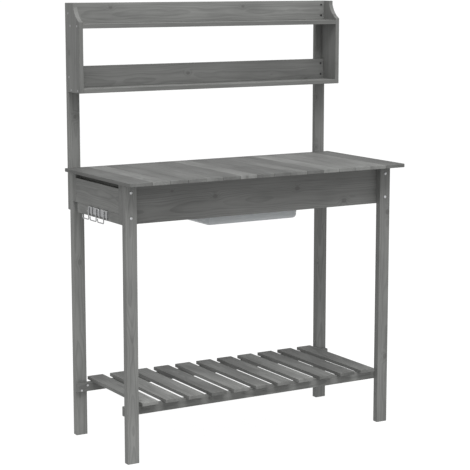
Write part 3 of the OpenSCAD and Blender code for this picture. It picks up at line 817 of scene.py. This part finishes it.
def corner_outline(node, inward):
    """End plank with a round outer front corner. inward is 1 where the middle is towards +X."""
    low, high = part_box(node)
    outer, inner = (low.x, high.x) if inward > 0 else (high.x, low.x)
    centre = (outer + inward * TOP_CORNER_RADIUS, low.y + TOP_CORNER_RADIUS)
    start = math.pi if inward > 0 else 0.0
    stop = 1.5 * math.pi if inward > 0 else -0.5 * math.pi
    points = [(outer, high.y)] + arc_points(centre, TOP_CORNER_RADIUS, start, stop, 8)
    points += [(inner, low.y), (inner, high.y)]
    return (X, Y), points, Z, low.z, high.z


def rebate_outline(node):
    """Basin rail with a rebate for the basin's rim along its inner upper edge."""
    low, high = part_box(node)
    inner, outer = (high.x, low.x) if high.x < 0 else (low.x, high.x)
    step = inner + math.copysign(REBATE_WIDTH, outer - inner)
    ledge = high.z - REBATE_DEPTH
    points = [(inner, low.z), (outer, low.z), (outer, high.z),
              (step, high.z), (step, ledge), (inner, ledge)]
    return (X, Z), points, Y, low.y, high.y


def make_board(node, axes, tone, knots, end_tone=0.9, clouds=1.0, part=None, outline=None):
    """A board in its node's box, or in part of it where the node holds several boards."""
    low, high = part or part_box(node)
    name = f"{node}_{len(built)}" if part else node + "_board"
    material = wood_material(name, low, high, axes, tone, knots, end_tone, clouds)
    radius = chance.uniform(*EDGE_RADII) * MM
    bm = rounded_prism(outline, radius) if outline else rounded_block(low, high, radius)
    piece = finish_piece(name, bm, material)
    cutter = recess_cutter(low, high)
    if cutter:
        cut(piece, cutter)
    weigh_normals(piece)
    stand_for(piece, node)
    built.append(piece)


# ---------------------------------------------------------------- the bench's wood

# A board's directions: along the grain, across its width, through its thickness
UPRIGHT_GRAIN = (Z, X, Y)
LONG_GRAIN = (X, Z, Y)
SHELF_GRAIN = (X, Y, Z)
DEEP_GRAIN = (Y, X, Z)
SIDE_GRAIN = (Y, Z, X)
PANEL_GRAIN = (Z, Y, X)

# How light each board is, compared with the wood colours above, matched board by board to a measured
# brightness. Each tone holds the board's own stain and also painted light and shade: the upright boards,
# and the boards in the shade of the worktop and the hutch shelves, are painted lighter than the worktop's
# planks
LEG_TONES = {"leg_front_left": 1.38, "leg_front_right": 1.19, "leg_rear_left": 1.58,
             "leg_rear_right": 1.32, "upright_left": 1.30, "upright_right": 1.18}
LONG_TONES = {"apron_front": 1.12, "apron_rear": 1.12, "shelf_rail_front": 1.17, "shelf_rail_rear": 1.12}
SIDE_TONES = {"side_apron_left": 1.27, "side_apron_right": 1.12, "hook_rail_left": 1.21,
              "side_rail_right": 1.12}
# The slats' tones hold painted light that stands in for the shade under the worktop, besides each slat's
# own tone
SLAT_TONES = (1.26, 1.29, 1.15, 0.88, 1.32, 1.10, 1.02, 1.18, 0.82, 0.76, 0.99)
PLANK_TONES = (0.73, 0.98, 0.76, 0.85, 0.86, 0.73, 1.05, 0.72,
               0.72, 0.89, 0.71, 1.15, 0.95, 0.96, 0.93, 0.67)
HUTCH_SHELF_TONES = {"hutch_shelf_lower": 1.18, "hutch_shelf_upper": 1.06}
# The hutch's back boards are painted lighter, as painted light in the shade of its shelves
HUTCH_BACK_TONES = {"hutch_back_lower": 1.11, "hutch_back_upper": 1.30}
HUTCH_PANEL_TONE = 1.15
HIDDEN_TONE = 1.1


def numbered(prefix):
    """The nodes of a numbered row, in order."""
    return sorted(node for node in frame["nodes"] if node.startswith(prefix))


def make_stand():
    """Legs, uprights, aprons and rails."""
    for node, tone in LEG_TONES.items():
        make_board(node, UPRIGHT_GRAIN, tone, knots=0.25)
    for node, tone in LONG_TONES.items():
        make_board(node, LONG_GRAIN, tone, knots=0.3, end_tone=1.0)
    for node, tone in SIDE_TONES.items():
        make_board(node, SIDE_GRAIN, tone, knots=0.2)


def make_slats():
    for node, tone in zip(numbered("shelf_slat"), SLAT_TONES):
        # end_tone above 1 is painted light on the slats' ends and edges
        make_board(node, DEEP_GRAIN, tone, knots=0.35, end_tone=1.05, clouds=2.2)


def make_worktop():
    """Sixteen planks, the first and the last with a round front corner."""
    planks = numbered("top_plank")
    outlines = {planks[0]: corner_outline(planks[0], inward=1),
                planks[-1]: corner_outline(planks[-1], inward=-1)}
    for node, tone in zip(planks, PLANK_TONES):
        # end_tone above 1 is painted light on the worktop's front edge and its sawn side edges
        make_board(node, DEEP_GRAIN, tone, knots=0.3, end_tone=1.3, clouds=1.5,
                   outline=outlines.get(node))


def make_hutch():
    for node, tone in HUTCH_SHELF_TONES.items():
        make_board(node, SHELF_GRAIN, tone, knots=0.35)
    for node, tone in HUTCH_BACK_TONES.items():
        make_board(node, LONG_GRAIN, tone, knots=0.4)
    for node in ("hutch_panel_left", "hutch_panel_right"):
        make_board(node, PANEL_GRAIN, HUTCH_PANEL_TONE, knots=0.2, outline=panel_outline(node))


def make_hidden_boards():
    """Basin rails, and the battens under the planks."""
    for node in ("basin_rail_left", "basin_rail_right"):
        make_board(node, SIDE_GRAIN, HIDDEN_TONE, knots=0.2, outline=rebate_outline(node))
    for node in ("top_battens", "cover_battens"):
        for low, high, _ in sorted(islands(node), key=lambda island: tuple(island[0])):
            make_board(node, SHELF_GRAIN, HIDDEN_TONE, knots=0.2, part=(low, high))


# ---------------------------------------------------------------- basin and hooks

BASIN_WALL = 2 * MM
BASIN_FLANGE = 7 * MM
BASIN_RIM = 3 * MM
BASIN_DRAFT = 5 * MM
BASIN_FOOT_EDGE = 14 * MM
BASIN_CORNER = 29 * MM
LEAST_CORNER = 4 * MM
LEAST_INNER_CORNER = 3 * MM
# How much the corner radius shrinks towards the foot, for each metre that the wall leans in
CORNER_DRAFT = 0.3
# The rim's outer edge and top: how far in from the box, and how far above the rim's underside
RIM_EDGE = in_mm((3.5, 0), (1.0, 0), (0.2, 0.5), (0.0, 1.2), (0.2, 2.1), (0.9, 2.8), (2.0, 3.0),
                 (5.5, 3.0), (7.5, 2.6))


def rounded_ring(bm, half_x, half_y, corner, centre_y, height, steps=10):
    """Ring of vertices round a rectangle with round corners."""
    ring = []
    for quarter, (sx, sy) in enumerate(((1, 1), (-1, 1), (-1, -1), (1, -1))):
        for k in range(steps + 1):
            turn = (quarter + k / steps) * math.pi / 2
            ring.append(bm.verts.new((sx * (half_x - corner) + corner * math.cos(turn),
                                      centre_y + sy * (half_y - corner) + corner * math.sin(turn),
                                      height)))
    return ring


def basin_wall(rim_under, foot, steps=6):
    """Outside of the wall from under the rim to the foot, as (distance in, height, corner radius)."""
    edge_top = foot + BASIN_FOOT_EDGE
    corner = BASIN_CORNER - BASIN_FLANGE
    wall = []
    for part in (k / steps for k in range(1, steps + 1)):
        wall.append((BASIN_FLANGE + BASIN_DRAFT * part, rim_under - (rim_under - edge_top) * part,
                     corner - BASIN_DRAFT * part * CORNER_DRAFT))
    for part in (k / steps for k in range(1, steps + 1)):
        turn = part * math.pi / 2
        rounded = BASIN_FOOT_EDGE * (1 - math.cos(turn))
        wall.append((BASIN_FLANGE + BASIN_DRAFT + rounded,
                     foot + BASIN_FOOT_EDGE * (1 - math.sin(turn)),
                     max(corner - BASIN_DRAFT * CORNER_DRAFT - rounded, LEAST_CORNER)))
    return wall


def make_basin():
    """Moulded tub: rolled rim, drafted walls, a round foot edge and a flat floor."""
    low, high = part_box("basin")
    half_x, half_y = (high.x - low.x) / 2, (high.y - low.y) / 2
    centre_y = (low.y + high.y) / 2
    rim_under = high.z - BASIN_RIM
    edge_top = low.z + BASIN_FOOT_EDGE
    outside = basin_wall(rim_under, low.z)
    rim = [(BASIN_FLANGE, rim_under, BASIN_CORNER - BASIN_FLANGE)]
    rim += [(inset, rim_under + rise, BASIN_CORNER - inset) for inset, rise in RIM_EDGE]
    within = BASIN_FLANGE + BASIN_WALL
    rim.append((within, high.z - 1.5 * MM, BASIN_CORNER - within))
    inside = [(inset + BASIN_WALL, height + (BASIN_WALL if height < edge_top else 0.0),
               max(radius - BASIN_WALL, LEAST_INNER_CORNER)) for inset, height, radius in outside]
    bm = bmesh.new()
    skin(bm, [rounded_ring(bm, half_x - inset, half_y - inset, radius, centre_y, height)
              for inset, height, radius in outside[::-1] + rim + inside])
    piece = finish_piece("basin_tub", bm, plastic_material())
    weigh_normals(piece)
    stand_for(piece, "basin")


def finish_hooks():
    """The hooks and their plate keep their CAD mesh, in zinc."""
    for node, metal in (("hook_front", WIRE_ZINC), ("hook_middle", WIRE_ZINC), ("hook_rear", WIRE_ZINC),
                        ("hook_plate", SHEET_ZINC)):
        materials = frame["nodes"][node].data.materials
        materials.clear()
        materials.append(metal)


# ---------------------------------------------------------------- the bench and its studio

FASTENERS = make_fasteners()
make_stand()
make_slats()
make_worktop()
make_hutch()
make_hidden_boards()
make_basin()
finish_hooks()
make_camera()
make_key_light()
make_sky()
make_floor()
